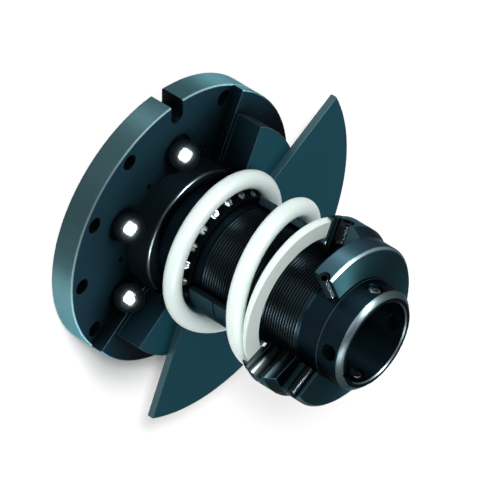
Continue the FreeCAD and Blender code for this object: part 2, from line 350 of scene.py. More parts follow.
def surface(name, colour, metal, rough, level=0.5, edge=1.0, grain=0.0, turned=0.0, painted_shade_reach=0.0):
    """A finish: level is its gloss, edge the gloss left at grazing angles, and the last argument is how far,
    in millimetres, its painted shade in corners reaches.
    """
    material = bpy.data.materials.new(name)
    material.use_nodes = True
    tree = material.node_tree
    shader = tree.nodes["Principled BSDF"]
    value(shader, "Base Color", (*colour, 1.0))
    value(shader, "Metallic", metal)
    value(shader, "Roughness", rough)
    value(shader, "Specular IOR Level", level)
    value(shader, "Specular Tint", (*[edge * share for share in EDGE_TINT], 1.0))
    if turned:
        add_turning(tree, shader, turned)
    if grain:
        add_grain(tree, shader, rough, grain)
    if painted_shade_reach:
        add_painted_corner_shade(tree, shader, colour, painted_shade_reach)
    return material


def painted_light_ramp(tree, height, bands):
    """The painted colour at a height, between bands that are each a height above the nut's foot and its
    colour.
    """
    low = bands[0][0]
    high = bands[-1][0]
    ramp = tree.nodes.new("ShaderNodeValToRGB")
    stops = ramp.color_ramp.elements
    for i, (z, colour) in enumerate(bands):
        at = (z - low) / (high - low)
        stop = stops[i] if i < 2 else stops.new(at)
        stop.position = at
        stop.color = (*colour, 1.0)
    share = spread(tree, height, (NUT_Z + low) * MM, (NUT_Z + high) * MM, 0.0, 1.0)
    tree.links.new(share, ramp.inputs["Fac"])
    return ramp.outputs["Color"]


def painted_light_bands(name, bands, fade):
    """Ground steel of the nut with painted highlights and painted shade in bands by height, darkened towards
    the shaft by painted shade.
    """
    material = surface(name, bands[0][1], 0.9, 0.35, edge=0.4)
    tree = material.node_tree
    place = tree.nodes.new("ShaderNodeTexCoord")
    split = tree.nodes.new("ShaderNodeSeparateXYZ")
    tree.links.new(place.outputs["Object"], split.inputs["Vector"])
    colour = painted_light_ramp(tree, split.outputs["Z"], bands)
    dark, light = fade
    share = spread(tree, split.outputs["X"], dark * MM, light * MM, PAINTED_FADE_DARKEST, 1.0)
    faded = tree.nodes.new("ShaderNodeVectorMath")
    faded.operation = "SCALE"
    tree.links.new(colour, faded.inputs[0])
    tree.links.new(share, faded.inputs["Scale"])
    tree.links.new(faded.outputs["Vector"], tree.nodes["Principled BSDF"].inputs["Base Color"])
    return material


BLACK_STEEL = surface(
    "black_steel", (0.0045, 0.011, 0.016), 0.9, 0.34, level=0.3, edge=0.15, grain=0.04, turned=0.8)
THREAD_STEEL = surface("thread_steel", (0.011, 0.017, 0.021), 0.9, 0.22, level=0.3, edge=0.2, turned=0.5)
BEVEL_STEEL = surface("bevel_steel", (0.045, 0.062, 0.068), 0.9, 0.34, level=0.3, edge=0.4)
RIM_STEEL = surface("rim_steel", (0.029, 0.062, 0.069), 0.9, 0.40, edge=0.45, grain=0.05, turned=0.85)
LOCK_RIM = surface("lock_rim", (0.026, 0.056, 0.072), 0.9, 0.36, edge=0.25, grain=0.04, turned=0.8)
CUT_STEEL = surface("cut_steel", (0.055, 0.105, 0.120), 0.9, 0.42, edge=0.4, grain=0.04)
# The blued steel gets painted shade in corners within 22 millimetres of other metal
BLUED_STEEL = surface(
    "blued_steel", (0.0105, 0.033, 0.047), 0.85, 0.46, level=0.3, edge=0.12, grain=0.05, painted_shade_reach=22.0)
LOCK_STEEL = surface(
    "lock_steel", (0.014, 0.042, 0.050), 0.9, 0.50, level=0.3, edge=0.15, grain=0.04, turned=0.85)
DISC_STEEL = surface("disc_steel", (0.0145, 0.067, 0.088), 0.85, 0.40, level=0.3, edge=0.15, grain=0.04)
CUT_TEAL = surface("cut_teal", (0.035, 0.075, 0.085), 0.9, 0.42, edge=0.3)
COLLAR_BLACK = surface("collar_black", (0.004, 0.008, 0.011), 0.9, 0.30, level=0.3, edge=0.1, turned=0.5)
ROUNDED_BLACK = surface("rounded_black", (0.010, 0.013, 0.015), 0.9, 0.25, level=0.3, edge=0.1)
# Painted highlight line for the lock ring's chamfer
PAINTED_HIGHLIGHT_LINE = surface("painted_highlight_line", (0.11, 0.15, 0.16), 0.9, 0.34, edge=0.2)
# Lighter finish for broken edges, a painted highlight line
EDGE_PAINTED_HIGHLIGHT = surface("edge_painted_highlight", (0.032, 0.052, 0.058), 0.9, 0.55, edge=0.3)
ROLLER_STEEL = surface("roller_steel", (0.09, 0.11, 0.105), 1.0, 0.24)
SCREW_STEEL = surface("screw_steel", (0.014, 0.019, 0.022), 0.95, 0.20, edge=0.4)
# A lighter copy of the screw steel, used as a painted highlight on two of the hub's screws
PAINTED_LIT_SCREW = surface("painted_lit_screw", (0.30, 0.33, 0.34), 1.0, 0.22)
END_SCREW = surface("end_screw_steel", (0.010, 0.015, 0.020), 0.9, 0.25, edge=0.3)
BALL_STEEL = surface("ball_steel", (0.014, 0.018, 0.020), 1.0, 0.20, edge=0.06)
# Black of the guide cage; the same finish is painted shade in the sleeve's groove, on the rollers' sides and
# on the drive flange's walls and inner edges
BLACK_AND_PAINTED_SHADE = surface("cage_black", (0.006, 0.009, 0.011), 0.8, 0.35, level=0.3, edge=0.1)
WHITE_PAINT = surface("white_paint", (0.80, 0.90, 0.86), 0.0, 0.38)

# Painted highlight in the nut's half bore, light low down and dark higher up
NUT_BORE_PAINTED_LIGHT = painted_light_bands("nut_bore_painted_light", (
    (1.7, (0.10, 0.12, 0.115)),
    (4.3, (0.09, 0.11, 0.105)),
    (5.7, (0.012, 0.02, 0.02)),
    (8.0, (0.004, 0.008, 0.008)),
), BORE_PAINTED_FADE)
# Painted highlight and painted shade bands across the nut's lower cut
CUT_PAINTED_LIGHT = painted_light_bands("cut_painted_light", (
    (0.0, (0.20, 0.26, 0.25)),
    (1.9, (0.04, 0.06, 0.06)),
    (8.3, (0.004, 0.012, 0.012)),
    (9.1, (0.012, 0.035, 0.036)),
    (9.8, (0.26, 0.34, 0.32)),
    (10.3, (0.16, 0.24, 0.25)),
    (11.2, (0.03, 0.07, 0.12)),
    (12.3, (0.004, 0.008, 0.012)),
), CUT_PAINTED_FADE)


def dress(piece, material):
    piece.data.materials.clear()
    piece.data.materials.append(material)


def add_look(piece, material):
    """Adds a material to a piece, and gives its place in the piece's list."""
    piece.data.materials.append(material)
    return len(piece.data.materials) - 1


def tilted(face, limits):
    """True for a face that looks up between two limits, where 0 is a wall and 1 is level."""
    low, high = limits
    return low < face.normal.z < high


# Meshes

def show(name, mesh):
    piece = bpy.data.objects.new(name, mesh)
    bpy.context.scene.collection.objects.link(piece)
    return piece


def piece_from(name, points, faces):
    mesh = bpy.data.meshes.new(name)
    mesh.from_pydata([Vector(p) * MM for p in points], [], faces)
    mesh.validate()
    made = bmesh.new()
    made.from_mesh(mesh)
    bmesh.ops.recalc_face_normals(made, faces=made.faces)
    made.to_mesh(mesh)
    made.free()
    return show(name, mesh)


def grid_faces(columns, rows, ring=True, loop=True):
    """Faces between columns of points; ring closes the columns into a ring, and loop each column."""
    faces = []
    for i in range(columns if ring else columns - 1):
        a = i * rows
        b = (i + 1) % columns * rows
        for j in range(rows if loop else rows - 1):
            k = (j + 1) % rows
            faces.append((a + j, b + j, b + k, a + k))
    return faces


def end_faces(columns, rows):
    """The faces that close the first and the last column."""
    last = (columns - 1) * rows
    return [tuple(reversed(range(rows))), tuple(range(last, last + rows))]


def lathe(name, profile, steps=ROUND_STEPS):
    points = []
    for i in range(steps):
        out = outward(360.0 * i / steps)
        points += [out * r + UP * z for r, z in profile]
    return piece_from(name, points, grid_faces(steps, len(profile)))


def fillet(radius, top, size, steps):
    """The rounded outer edge of a turned piece, from its side up to its face."""
    turns = [0.5 * math.pi * i / steps for i in range(steps + 1)]
    return [(radius - size + size * math.cos(t), top - size + size * math.sin(t)) for t in turns]


def slab(name, outline, offset):
    """The solid between a flat outline and the same outline moved by an offset."""
    count = len(outline)
    points = outline + [p + offset for p in outline]
    return piece_from(name, points, end_faces(2, count) + grid_faces(2, count, ring=False))


def prism(name, centre, along, corners, length):
    """A straight bar: corners are (sideways, up) about the centre line."""
    side = Vector((-along.y, along.x, 0.0))
    return slab(name, [centre + side * s + UP * h for s, h in corners], along * length)


def sector(name, turns, low, high):
    """The solid that cuts a turned piece open between two angles."""
    start, end = turns
    arc = [outward(start + (end - start) * i / ARC_STEPS) * REACH for i in range(ARC_STEPS + 1)]
    outline = [UP * low] + [p + UP * low for p in arc]
    return slab(name, outline, UP * (high - low))


def tap(radius, degrees, z, start, end):
    """A round cutting tool that points outwards from the shaft."""
    along = outward(degrees)
    turns = [2 * math.pi * i / SCREW_STEPS for i in range(SCREW_STEPS)]
    corners = [(radius * math.cos(t), z + radius * math.sin(t)) for t in turns]
    return prism("tap", along * start, along, corners, end - start)


def smooth(piece, degrees):
    piece.data.shade_smooth()
    piece.data.set_sharp_from_angle(angle=math.radians(degrees))


def bake(piece):
    graph = bpy.context.evaluated_depsgraph_get()
    graph.update()
    mesh = bpy.data.meshes.new_from_object(piece.evaluated_get(graph))
    piece.modifiers.clear()
    piece.data = mesh


def cut_away(piece, tools):
    for tool in tools:
        step = piece.modifiers.new("cut", "BOOLEAN")
        step.operation = "DIFFERENCE"
        step.solver = "EXACT"
        step.object = tool
    bake(piece)
    for tool in tools:
        bpy.data.objects.remove(tool)


def join(first, others):
    made = bmesh.new()
    made.from_mesh(first.data)
    for other in others:
        made.from_mesh(other.data)
    made.to_mesh(first.data)
    made.free()
    for other in others:
        bpy.data.objects.remove(other)
    return first


def stand_for(piece, node):
    """The piece shows in a CAD node's place, and moves with that node's body."""
    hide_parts(node)
    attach(piece, nodes[node]["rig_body"])


# Pieces with ground edges

def copied(name):
    """A copy of a CAD node whose flat faces are whole again."""
    made = bmesh.new()
    made.from_mesh(nodes[name].data)
    bmesh.ops.remove_doubles(made, verts=made.verts, dist=WELD * MM)
    flat = math.radians(FLAT_ANGLE)
    bmesh.ops.dissolve_limit(made, angle_limit=flat, verts=made.verts, edges=made.edges)
    mesh = bpy.data.meshes.new(name + "_ground")
    made.to_mesh(mesh)
    made.free()
    for layer in [a.name for a in mesh.attributes if a.name == "custom_normal"]:
        mesh.attributes.remove(mesh.attributes[layer])
    return show(name + "_ground", mesh)


def grind(piece, name, looks, width):
    """Breaks the edges of a piece that stands for a CAD node, and dresses it."""
    if width:
        edge = piece.modifiers.new("edge", "BEVEL")
        edge.width = width * MM
        edge.segments = EDGE_SEGMENTS
        edge.limit_method = "ANGLE"
        edge.angle_limit = math.radians(SHARP_ANGLE)
        edge.use_clamp_overlap = False
        edge.material = EDGE
    for material in looks:
        piece.data.materials.append(material)
    bake(piece)
    smooth(piece, GROUND_SMOOTH)
    even = piece.modifiers.new("even", "WEIGHTED_NORMAL")
    even.keep_sharp = True
    bake(piece)
    stand_for(piece, name)


def sort_faces(piece, inner_edges_painted_shade):
    """Gives the outer rim, the cut planes and the outer chamfer of a turned piece their own finishes. For the
    drive flange, its broken edges inside the rim take the cut finish as painted shade.
    """
    outer = max(v.co.xy.length for v in piece.data.vertices) / MM
    for face in piece.data.polygons:
        r = face.center.xy.length / MM
        out = Vector((face.center.x, face.center.y, 0)).normalized()
        if inner_edges_painted_shade and face.material_index == EDGE and r < outer - RIM_BAND:
            face.material_index = CUT
        if face.material_index != MAIN or abs(face.normal.z) > LEVEL:
            continue
        if r > outer - CHAMFER_BAND and tilted(face, CHAMFER_TILT):
            face.material_index = CHAMFER
        elif r > outer - RIM_BAND and face.normal.dot(out) > RIM_OUTWARD:
            face.material_index = RIM
        elif abs(face.normal.z) < UPRIGHT and abs(face.normal.dot(out)) < CUT_OUTWARD:
            face.material_index = CUT


# Paints shade into the sleeve's groove: its outer faces there take the black finish
def paint_groove_shade(sleeve):
    groove = add_look(sleeve, BLACK_AND_PAINTED_SHADE)
    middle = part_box("guide_sleeve")[0].z / MM + SLEEVE_GROOVE_AT + SLEEVE_GROOVE_W / 2
    for face in sleeve.data.polygons:
        outside = face.center.xy.length > SLEEVE_OUTSIDE_R * MM
        if outside and abs(face.center.z / MM - middle) < SLEEVE_GROOVE_W / 2 + SLEEVE_GROOVE_PLAY:
            face.material_index = groove


# Threads and set screws

def ridge_section(root, depth, pitch):
    """The lower half of a ridge's outline and its mirror image, as radius and height."""
    lower = [
        (root - RIDGE_SINK * pitch, -RIDGE_FOOT * pitch),
        (root + RIDGE_SLOPE_DEPTH * depth, -RIDGE_SLOPE * pitch),
        (root + depth, -RIDGE_CREST * pitch),
    ]
    return lower + [(r, -z) for r, z in reversed(lower)]


def thread(name, root, crest, pitch, low, high, steps, frame_at=Matrix.Identity(4)):
    """A helical ridge, as a closed solid that sinks into its core at both ends."""
    turns = (high - low) / pitch
    count = int(turns * steps)
    points = []
    for i in range(count + 1):
        turn = i / steps
        near_end = min(turn, turns - turn) / RIDGE_FADE
        depth = (crest - root) * min(1.0, max(RIDGE_START_DEPTH, near_end))
        middle = low + pitch * turn
        out = outward(360.0 * turn)
        section = ridge_section(root, depth, pitch)
        points += [frame_at @ (out * r + UP * (middle + z)) for r, z in section]
    rows = len(section)
    faces = end_faces(count + 1, rows) + grid_faces(count + 1, rows, ring=False)
    ridge = piece_from(name, points, faces)
    smooth(ridge, THREAD_SMOOTH)
    return ridge


def radial_frame(inner, degrees, z):
    """Maps a screw's own +Z to the outward direction."""
    along = outward(degrees)
    side = Vector((-along.y, along.x, 0.0))
    turn = Matrix((side, UP, along)).transposed().to_4x4()
    return Matrix.Translation(along * inner + UP * z) @ turn


def screw_core(name, radius, length, pitch, at):
    """A set screw without its thread. Its hexagon socket is as wide across the flats as its radius."""
    tip = SCREW_TIP * radius
    root = radius - SCREW_ROOT * pitch
    profile = [(radius - tip, 0.0), (root, tip), (root, length - SCREW_BREAK), (root - SCREW_BREAK, length)]
    rows = len(profile)
    points = []
    for i in range(SCREW_STEPS):
        out = outward(360.0 * i / SCREW_STEPS)
        points += [at @ (out * r + UP * z) for r, z in profile]
    faces = grid_faces(SCREW_STEPS, rows, loop=False)
    faces.append(tuple(i * rows for i in range(SCREW_STEPS)))
    corner = radius / math.sqrt(3)
    floor = length - SOCKET_DEPTH * length
    hexagon = [outward(360.0 * i / SOCKET_SIDES) * corner for i in range(SOCKET_SIDES)]
    top = len(points)
    bottom = top + SOCKET_SIDES
    point = bottom + SOCKET_SIDES
    points += [at @ (c + UP * length) for c in hexagon]
    points += [at @ (c + UP * floor) for c in hexagon]
    points.append(at @ (UP * (floor - SOCKET_POINT * corner)))
    share = SCREW_STEPS // SOCKET_SIDES
    for i in range(SOCKET_SIDES):
        k = (i + 1) % SOCKET_SIDES
        arc = [((i * share + s) % SCREW_STEPS) * rows + rows - 1 for s in range(share + 1)]
        faces.append(tuple(arc + [top + k, top + i]))
        faces.append((top + i, top + k, bottom + k, bottom + i))
        faces.append((bottom + i, bottom + k, point))
    core = piece_from(name, points, faces)
    smooth(core, TURNED_SMOOTH)
    return core


def set_screw(name, radius, inner, outer, degrees, z, pitch):
    length = outer - inner
    at = radial_frame(inner, degrees, z)
    core = screw_core(name, radius, length, pitch, at)
    low = SCREW_TIP * radius + SCREW_THREAD_IN * pitch
    high = length - SCREW_THREAD_OUT * pitch
    root = radius - SCREW_ROOT * pitch
    crest = radius - SCREW_PLAY
    return join(core, [thread(name + "_thread", root, crest, pitch, low, high, SCREW_THREAD_STEPS, at)])


def build_screws(name, node, radius, inner, outer, turns, z, pitch):
    made = []
    for i, degrees in enumerate(turns):
        screw = set_screw(f"{name}_{i + 1}", radius, inner, outer, degrees, z, pitch)
        stand_for(screw, node)
        made.append(screw)
    return made


def build_end_screws():
    """The hub's four set screws. The last hole looks empty in the photograph, so its screw sits deeper."""
    screws = build_screws("end_screw", "hub_set_screws", END_SCREW_R - END_SCREW_PLAY, END_SCREW_FROM,
                          END_R - END_SCREW_SINK, END_SCREW_TURNS, END_SCREW_Z, WIDE_PITCH)
    # Two of the four alike screws are painted lighter as painted highlights; the other two keep the dark
    # screw steel
    for screw, look in zip(screws, (PAINTED_LIT_SCREW, END_SCREW, PAINTED_LIT_SCREW, END_SCREW)):
        dress(screw, look)
    inward = -outward(END_SCREW_TURNS[3])
    screws[3].data.transform(Matrix.Translation(inward * END_SCREW_DEEP * MM))


def build_ring_screws():
    """The set screws of the nut and of the lock ring."""
    outer = NUT_R - NUT_SCREW_INSET
    screws = build_screws("nut_screw", "nut_set_screws", NUT_SCREW_R, outer - NUT_SCREW_L, outer,
                          NUT_SCREW_TURNS, NUT_SCREW_Z, WIDE_PITCH)
    screws += build_screws("lock_screw", "lock_screws", LOCK_SCREW_R, NECK_R, LOCK_R - LOCK_SCREW_INSET,
                           LOCK_CUT, LOCK_SCREW_Z, FINE_PITCH)
    for screw in screws:
        dress(screw, SCREW_STEEL)
    return screws


# Hub

def hub_profile(root):
    bevel_r = END_R - END_BEVEL
    bevel_z = HUB_LENGTH - END_BEVEL
    return [
        (BORE_R, 0),
        (SHOULDER_R - SMALL_BREAK, 0),
        (SHOULDER_R, SMALL_BREAK),
        (SHOULDER_R, SHOULDER_T),
        (THREAD_R, SHOULDER_T),
        (THREAD_R, LAND_TOP),
        (root, LAND_TOP + 0.5 * THREAD_DEPTH),
        (root, NUT_TOP - NECK_TAPER),
        (NECK_R, NUT_TOP + NECK_TAPER),
        (NECK_R, END_COLLAR_Z - STEP_BREAK),
        (END_R - SMALL_BREAK, END_COLLAR_Z),
        (END_R, END_COLLAR_Z + SMALL_BREAK),
        (END_R, END_COLLAR_Z + END_EDGE),
        (END_R, bevel_z - BEVEL_BREAK),
        (END_R - BEVEL_ROUND, bevel_z + BEVEL_ROUND),
        (bevel_r + BEVEL_ROUND, HUB_LENGTH - BEVEL_ROUND),
        (bevel_r - BEVEL_BREAK, HUB_LENGTH),
        (BORE_R + WIDE_BREAK, HUB_LENGTH),
        (BORE_R, HUB_LENGTH - WIDE_BREAK),
    ]


def keyway():
    half = KEYWAY_W / 2
    low = -PAST
    high = HUB_LENGTH + PAST
    corners = [(-half, low), (half, low), (half, high), (-half, high)]
    return prism("keyway", Vector((0, 0, 0)), Vector((1, 0, 0)), corners, BORE_R + KEYWAY_DEPTH)


def build_hub():
    root = THREAD_R - THREAD_DEPTH
    body = lathe("hub_body", hub_profile(root))
    taps = [tap(END_SCREW_R, a, END_SCREW_Z, BORE_R - PAST, END_R + PAST) for a in END_SCREW_TURNS]
    cut_away(body, [keyway()] + taps)
    smooth(body, TURNED_SMOOTH)
    low = LAND_TOP + THREAD_IN
    high = NUT_TOP - THREAD_OUT
    join(body, [thread("hub_thread", root, THREAD_R, THREAD_PITCH, low, high, THREAD_STEPS)])
    stand_for(body, "hub")
    dress(body, BLACK_STEEL)
    shade_hub(body, root)


def shade_hub(hub, root):
    bevel = add_look(hub, BEVEL_STEEL)
    threads = add_look(hub, THREAD_STEEL)
    edge = add_look(hub, EDGE_PAINTED_HIGHLIGHT)
    for face in hub.data.polygons:
        z = face.center.z / MM
        r = face.center.xy.length / MM
        if tilted(face, BEVEL_TILT) and z > HUB_LENGTH - END_BEVEL:
            face.material_index = bevel
        elif LAND_TOP < z < NUT_TOP and r > root - NEAR:
            face.material_index = threads
        # The end collar's broken rear edge carries the painted highlight line
        elif END_COLLAR_Z < z < END_COLLAR_Z + END_EDGE and r > END_R - SMALL_BREAK - NEAR:
            face.material_index = edge


def build_collar():
    """The hub's collar, a mesh of its own so that its rounded edge can be lit by itself."""
    profile = [(COLLAR_INSIDE_R, COLLAR_FOOT), (COLLAR_R, COLLAR_FOOT)]
    profile += fillet(COLLAR_R, COLLAR_TOP, COLLAR_ROUND, COLLAR_ROUND_STEPS)
    profile.append((COLLAR_INSIDE_R, COLLAR_TOP))
    collar = lathe("hub_collar", profile)
    smooth(collar, TURNED_SMOOTH)
    stand_for(collar, "hub")
    dress(collar, COLLAR_BLACK)
    edge = add_look(collar, ROUNDED_BLACK)
    for face in collar.data.polygons:
        if tilted(face, ROUNDED_TILT):
            face.material_index = edge
    return collar


# Rollers, nut, seat and balls

def roller_cone(start, top, reach):
    """The ring that cuts the rollers' outer ends to a cone of 45 degrees."""
    inner = start - ROLLER_CONE_PAST
    outer = reach + ROLLER_CONE_PAST
    above_top = top + ROLLER_CONE_PAST
    profile = [(inner, above_top), (outer, above_top), (outer, top - outer + start)]
    return lathe("roller_cone", profile, FINE_STEPS)


def build_rollers():
    low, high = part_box("guide_rollers")
    pitch_r = high.x / MM - ROLLER_R
    bottom = low.z / MM
    top = high.z / MM
    profile = [(0.0, bottom), (ROLLER_R - ROLLER_ROUND, bottom), (ROLLER_R, bottom + ROLLER_ROUND)]
    profile += fillet(ROLLER_R, top, ROLLER_ROUND, ROLLER_ROUND_STEPS) + [(0.0, top)]
    made = []
    for i in range(ROLLER_COUNT):
        roller = lathe(f"guide_roller_{i + 1}", profile, ROLLER_STEPS)
        centre = outward(360.0 * i / ROLLER_COUNT + ROLLER_TURN) * pitch_r * MM
        roller.data.transform(Matrix.Translation(centre))
        made.append(roller)
    rollers = join(made[0], made[1:])
    cut_away(rollers, [roller_cone(pitch_r - ROLLER_CONE_IN, top, pitch_r + ROLLER_R)])
    smooth(rollers, ROLLER_SMOOTH)
    stand_for(rollers, "guide_rollers")
    # The rollers' sides are painted near black as painted shade; only their cone faces keep the roller steel
    dress(rollers, BLACK_AND_PAINTED_SHADE)
    cone = add_look(rollers, ROLLER_STEEL)
    for face in rollers.data.polygons:
        if tilted(face, CONE_TILT):
            face.material_index = cone


def build_nut():
    bore = THREAD_R - THREAD_DEPTH / 2 + NUT_PLAY
    nut = lathe("adjusting_nut_ground", [
        (bore, NUT_Z),
        (NUT_R - WIDE_BREAK, NUT_Z),
        (NUT_R, NUT_Z + WIDE_BREAK),
        (NUT_R, NUT_CONE_Z),
        (NUT_R - NUT_CONE_IN, NUT_TOP),
        (bore, NUT_TOP),
    ])
    inside = THREAD_R - PAST
    places = ((NUT_SCREW_TURNS[0], inside), (NUT_CUT[1], inside), (NUT_SCREW_TURNS[1], NUT_TAP_FROM))
    cut_away(nut, [tap(NUT_TAP_R, a, NUT_SCREW_Z, start, NUT_R + PAST) for a, start in places])
    cut_away(nut, [sector("nut_opening", NUT_CUT, NUT_Z - PAST, NUT_TOP + PAST)])
    return nut


def in_half_bore(face):
    """True on the wall of the half bore that the nut's lower cut opens."""
    place = face.center / MM
    at_screw = abs(place.z - NUT_SCREW_Z) < NUT_TAP_R
    inside = HALF_BORE_FROM < place.xy.length < HALF_BORE_TO
    is_wall = abs(face.normal.dot(outward(NUT_CUT[1]))) < BORE_SIDEWAYS
    return place.x > 0 and at_screw and inside and is_wall


def shade_nut(nut):
    """Finishes for the nut's half bore and its lower cut, both with painted highlights and painted shade, and
    for the far end of its upper cut, painted lighter as painted light.
    """
    painted_cut_light = add_look(nut, CUT_PAINTED_LIGHT)
    bore = add_look(nut, NUT_BORE_PAINTED_LIGHT)
    teal = add_look(nut, CUT_TEAL)
    lower = outward(NUT_CUT[1] - 90)
    upper = outward(NUT_CUT[0] + 90)
    for face in nut.data.polygons:
        if face.material_index == EDGE:
            continue
        if face.normal.dot(lower) > FACING:
            face.material_index = painted_cut_light
        # Above the screw the upper cut is painted lighter teal as painted light; below it the cut stays black
        elif face.normal.dot(upper) > FACING and face.center.z / MM > NUT_SCREW_Z:
            face.material_index = teal
        elif in_half_bore(face):
            face.material_index = bore


def build_seat():
    seat = lathe("spring_seat_ground", [
        (SEAT_BORE_R, SEAT_Z),
        (SEAT_POCKET_R, SEAT_Z),
        (SEAT_POCKET_R, SEAT_EDGE_Z),
        (SEAT_R - SEAT_BREAK, SEAT_EDGE_Z),
        (SEAT_R, SEAT_EDGE_Z + SEAT_BREAK),
        (SEAT_R, NUT_Z),
        (SEAT_BORE_R, NUT_Z),
    ])
    cut_away(seat, [sector("seat_opening", NUT_CUT, SEAT_EDGE_Z - PAST, NUT_Z + PAST)])
    return seat


def build_ball(name):
    low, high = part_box(name)
    made = bmesh.new()
    bmesh.ops.create_uvsphere(
        made, u_segments=BALL_SEGMENTS, v_segments=BALL_SEGMENTS // 2, radius=(high.z - low.z) / 2)
    bmesh.ops.translate(made, verts=made.verts, vec=(low + high) / 2)
    mesh = bpy.data.meshes.new(name + "_polished")
    made.to_mesh(mesh)
    made.free()
    mesh.shade_smooth()
    ball = show(name + "_polished", mesh)
    ball.visible_glossy = False
    dress(ball, BALL_STEEL)
    stand_for(ball, name)
    return ball


# Each ground node: its main, edge, rim, cut and chamfer finishes, its slot and the width of its edges
LOOKS = {
    "slide_key": ([BLACK_STEEL] * 5, "black_steel", 0),
    # The drive flange's edge and chamfer finish paints a highlight line; its near-black cut finish paints
    # shade on its upright walls and inner edges
    "drive_flange": ([BLUED_STEEL, EDGE_PAINTED_HIGHLIGHT, RIM_STEEL, BLACK_AND_PAINTED_SHADE, EDGE_PAINTED_HIGHLIGHT], "blued_steel", 0.15),
    "ball_cage_plate": ([BLUED_STEEL, LOCK_RIM, RIM_STEEL, BLUED_STEEL, EDGE_PAINTED_HIGHLIGHT], "blued_steel", 0.2),
    "detent_ring": ([BLUED_STEEL, LOCK_RIM, LOCK_RIM, BLUED_STEEL, LOCK_RIM], "blued_steel", 0.15),
    "pressure_drum": ([DISC_STEEL, LOCK_RIM, LOCK_RIM, BLUED_STEEL, CUT_STEEL], "blued_steel", 0.2),
    "trip_disc": ([DISC_STEEL, LOCK_RIM, CUT_STEEL, CUT_STEEL, CUT_STEEL], "disc_steel", 0.15),
    "guide_cage": ([BLACK_AND_PAINTED_SHADE] * 5, "cage_black", 0),
    "cage_retainer": ([SCREW_STEEL] * 5, "bright_steel", 0),
    "guide_sleeve": ([LOCK_RIM] * 5, "blued_steel", 0.15),
    "spring_seat": ([BLACK_STEEL, LOCK_RIM, BLACK_STEEL, CUT_TEAL, LOCK_RIM], "black_steel", 0.1),
    "adjusting_nut": ([BLACK_STEEL, LOCK_RIM, RIM_STEEL, BLACK_STEEL, LOCK_STEEL], "black_steel", 0.2),
    # The lock ring's chamfer carries the painted highlight line
    "lock_ring": ([LOCK_STEEL, LOCK_RIM, LOCK_RIM, LOCK_STEEL, PAINTED_HIGHLIGHT_LINE], "blued_steel", 0.25),
}

# Nodes that are turned anew, because their opening in the photograph isn't the solids' one
TURNED = {"adjusting_nut": build_nut, "spring_seat": build_seat}


def build_ground_pieces():
    made = {}
    for name, (looks, slot, width) in LOOKS.items():
        piece = TURNED[name]() if name in TURNED else copied(name)
        grind(piece, name, looks, width)
        sort_faces(piece, inner_edges_painted_shade=name == "drive_flange")
        made[name] = piece
    paint_groove_shade(made["guide_sleeve"])
    shade_nut(made["adjusting_nut"])
    made["guide_cage"].data.transform(Matrix.Rotation(math.radians(ROLLER_TURN), 4, "Z"))
    return made


# Coil spring

def coil_slope(turn):
    for (t0, s0), (t1, s1) in zip(SLOPES, SLOPES[1:]):
        if turn <= t1:
            return s0 + (s1 - s0) * (turn - t0) / (t1 - t0)
    return SLOPES[-1][1]


def spring_centres():
    count = round(SPRING_TURNS * SPRING_STEPS)
    step = SPRING_TURNS / count
    z = SPRING_Z + TIP_RISE
    centres = [outward(SPRING_FROM) * COIL_R + UP * z]
    for i in range(count):
        z += coil_slope((i + 0.5) * step) * step
        centres.append(outward(SPRING_FROM + 360.0 * (i + 1) * step) * COIL_R + UP * z)
    return centres


def spring_wire(name):
    centres = spring_centres()
    turns = [2 * math.pi * j / WIRE_SIDES for j in range(WIRE_SIDES)]
    points = []
    last = len(centres) - 1
    for i, centre in enumerate(centres):
        along = (centres[min(i + 1, last)] - centres[max(i - 1, 0)]).normalized()
        out = Vector((centre.x, centre.y, 0)).normalized()
        up = out.cross(along).normalized()
        if up.z < 0:
            up = -up
        points += [centre + (out * math.cos(t) + up * math.sin(t)) * WIRE_R for t in turns]
    columns = len(centres)
    faces = grid_faces(columns, WIRE_SIDES, ring=False) + end_faces(columns, WIRE_SIDES)
    return piece_from(name, points, faces)


def slice_level(piece, low, high):
    """Keeps what lies between two heights, and closes the cuts."""
    made = bmesh.new()
    made.from_mesh(piece.data)
    for z, way in ((low, -UP), (high, UP)):
        everything = made.verts[:] + made.edges[:] + made.faces[:]
        cut = bmesh.ops.bisect_plane(
            made, geom=everything, dist=CUT_TOLERANCE, plane_co=UP * z * MM, plane_no=way, clear_outer=True)
        edges = [e for e in cut["geom_cut"] if isinstance(e, bmesh.types.BMEdge) and e.is_boundary]
        if edges:
            bmesh.ops.holes_fill(made, edges=edges, sides=0)
    bmesh.ops.recalc_face_normals(made, faces=made.faces)
    made.to_mesh(piece.data)
    made.free()


def build_spring_half(name, low, high, body):
    """Half of the spring, which moves with the body it is attached to."""
    half = spring_wire(name)
    slice_level(half, low, high)
    smooth(half, GROUND_SMOOTH)
    dress(half, WHITE_PAINT)
    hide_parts("coil_spring")
    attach(half, body)
    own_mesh(half)


def build_spring():
    middle = (SPRING_Z + SEAT_Z) / 2
    build_spring_half("spring_lower", SPRING_Z, middle, "slide_plate")
    build_spring_half("spring_upper", middle, SEAT_Z, "spring_seat")


# Studio

def seen_directly(tree):
    """1 for what the camera, a reflection or glass shows, 0 for light that falls on surfaces."""
    path = tree.nodes.new("ShaderNodeLightPath")
    either = tree.nodes.new("ShaderNodeMath")
    either.operation = "MAXIMUM"
    tree.links.new(path.outputs["Is Camera Ray"], either.inputs[0])
    tree.links.new(path.outputs["Is Glossy Ray"], either.inputs[1])
    any_of = tree.nodes.new("ShaderNodeMath")
    any_of.operation = "MAXIMUM"
    tree.links.new(either.outputs[0], any_of.inputs[0])
    tree.links.new(path.outputs["Is Transmission Ray"], any_of.inputs[1])
    return any_of.outputs[0]


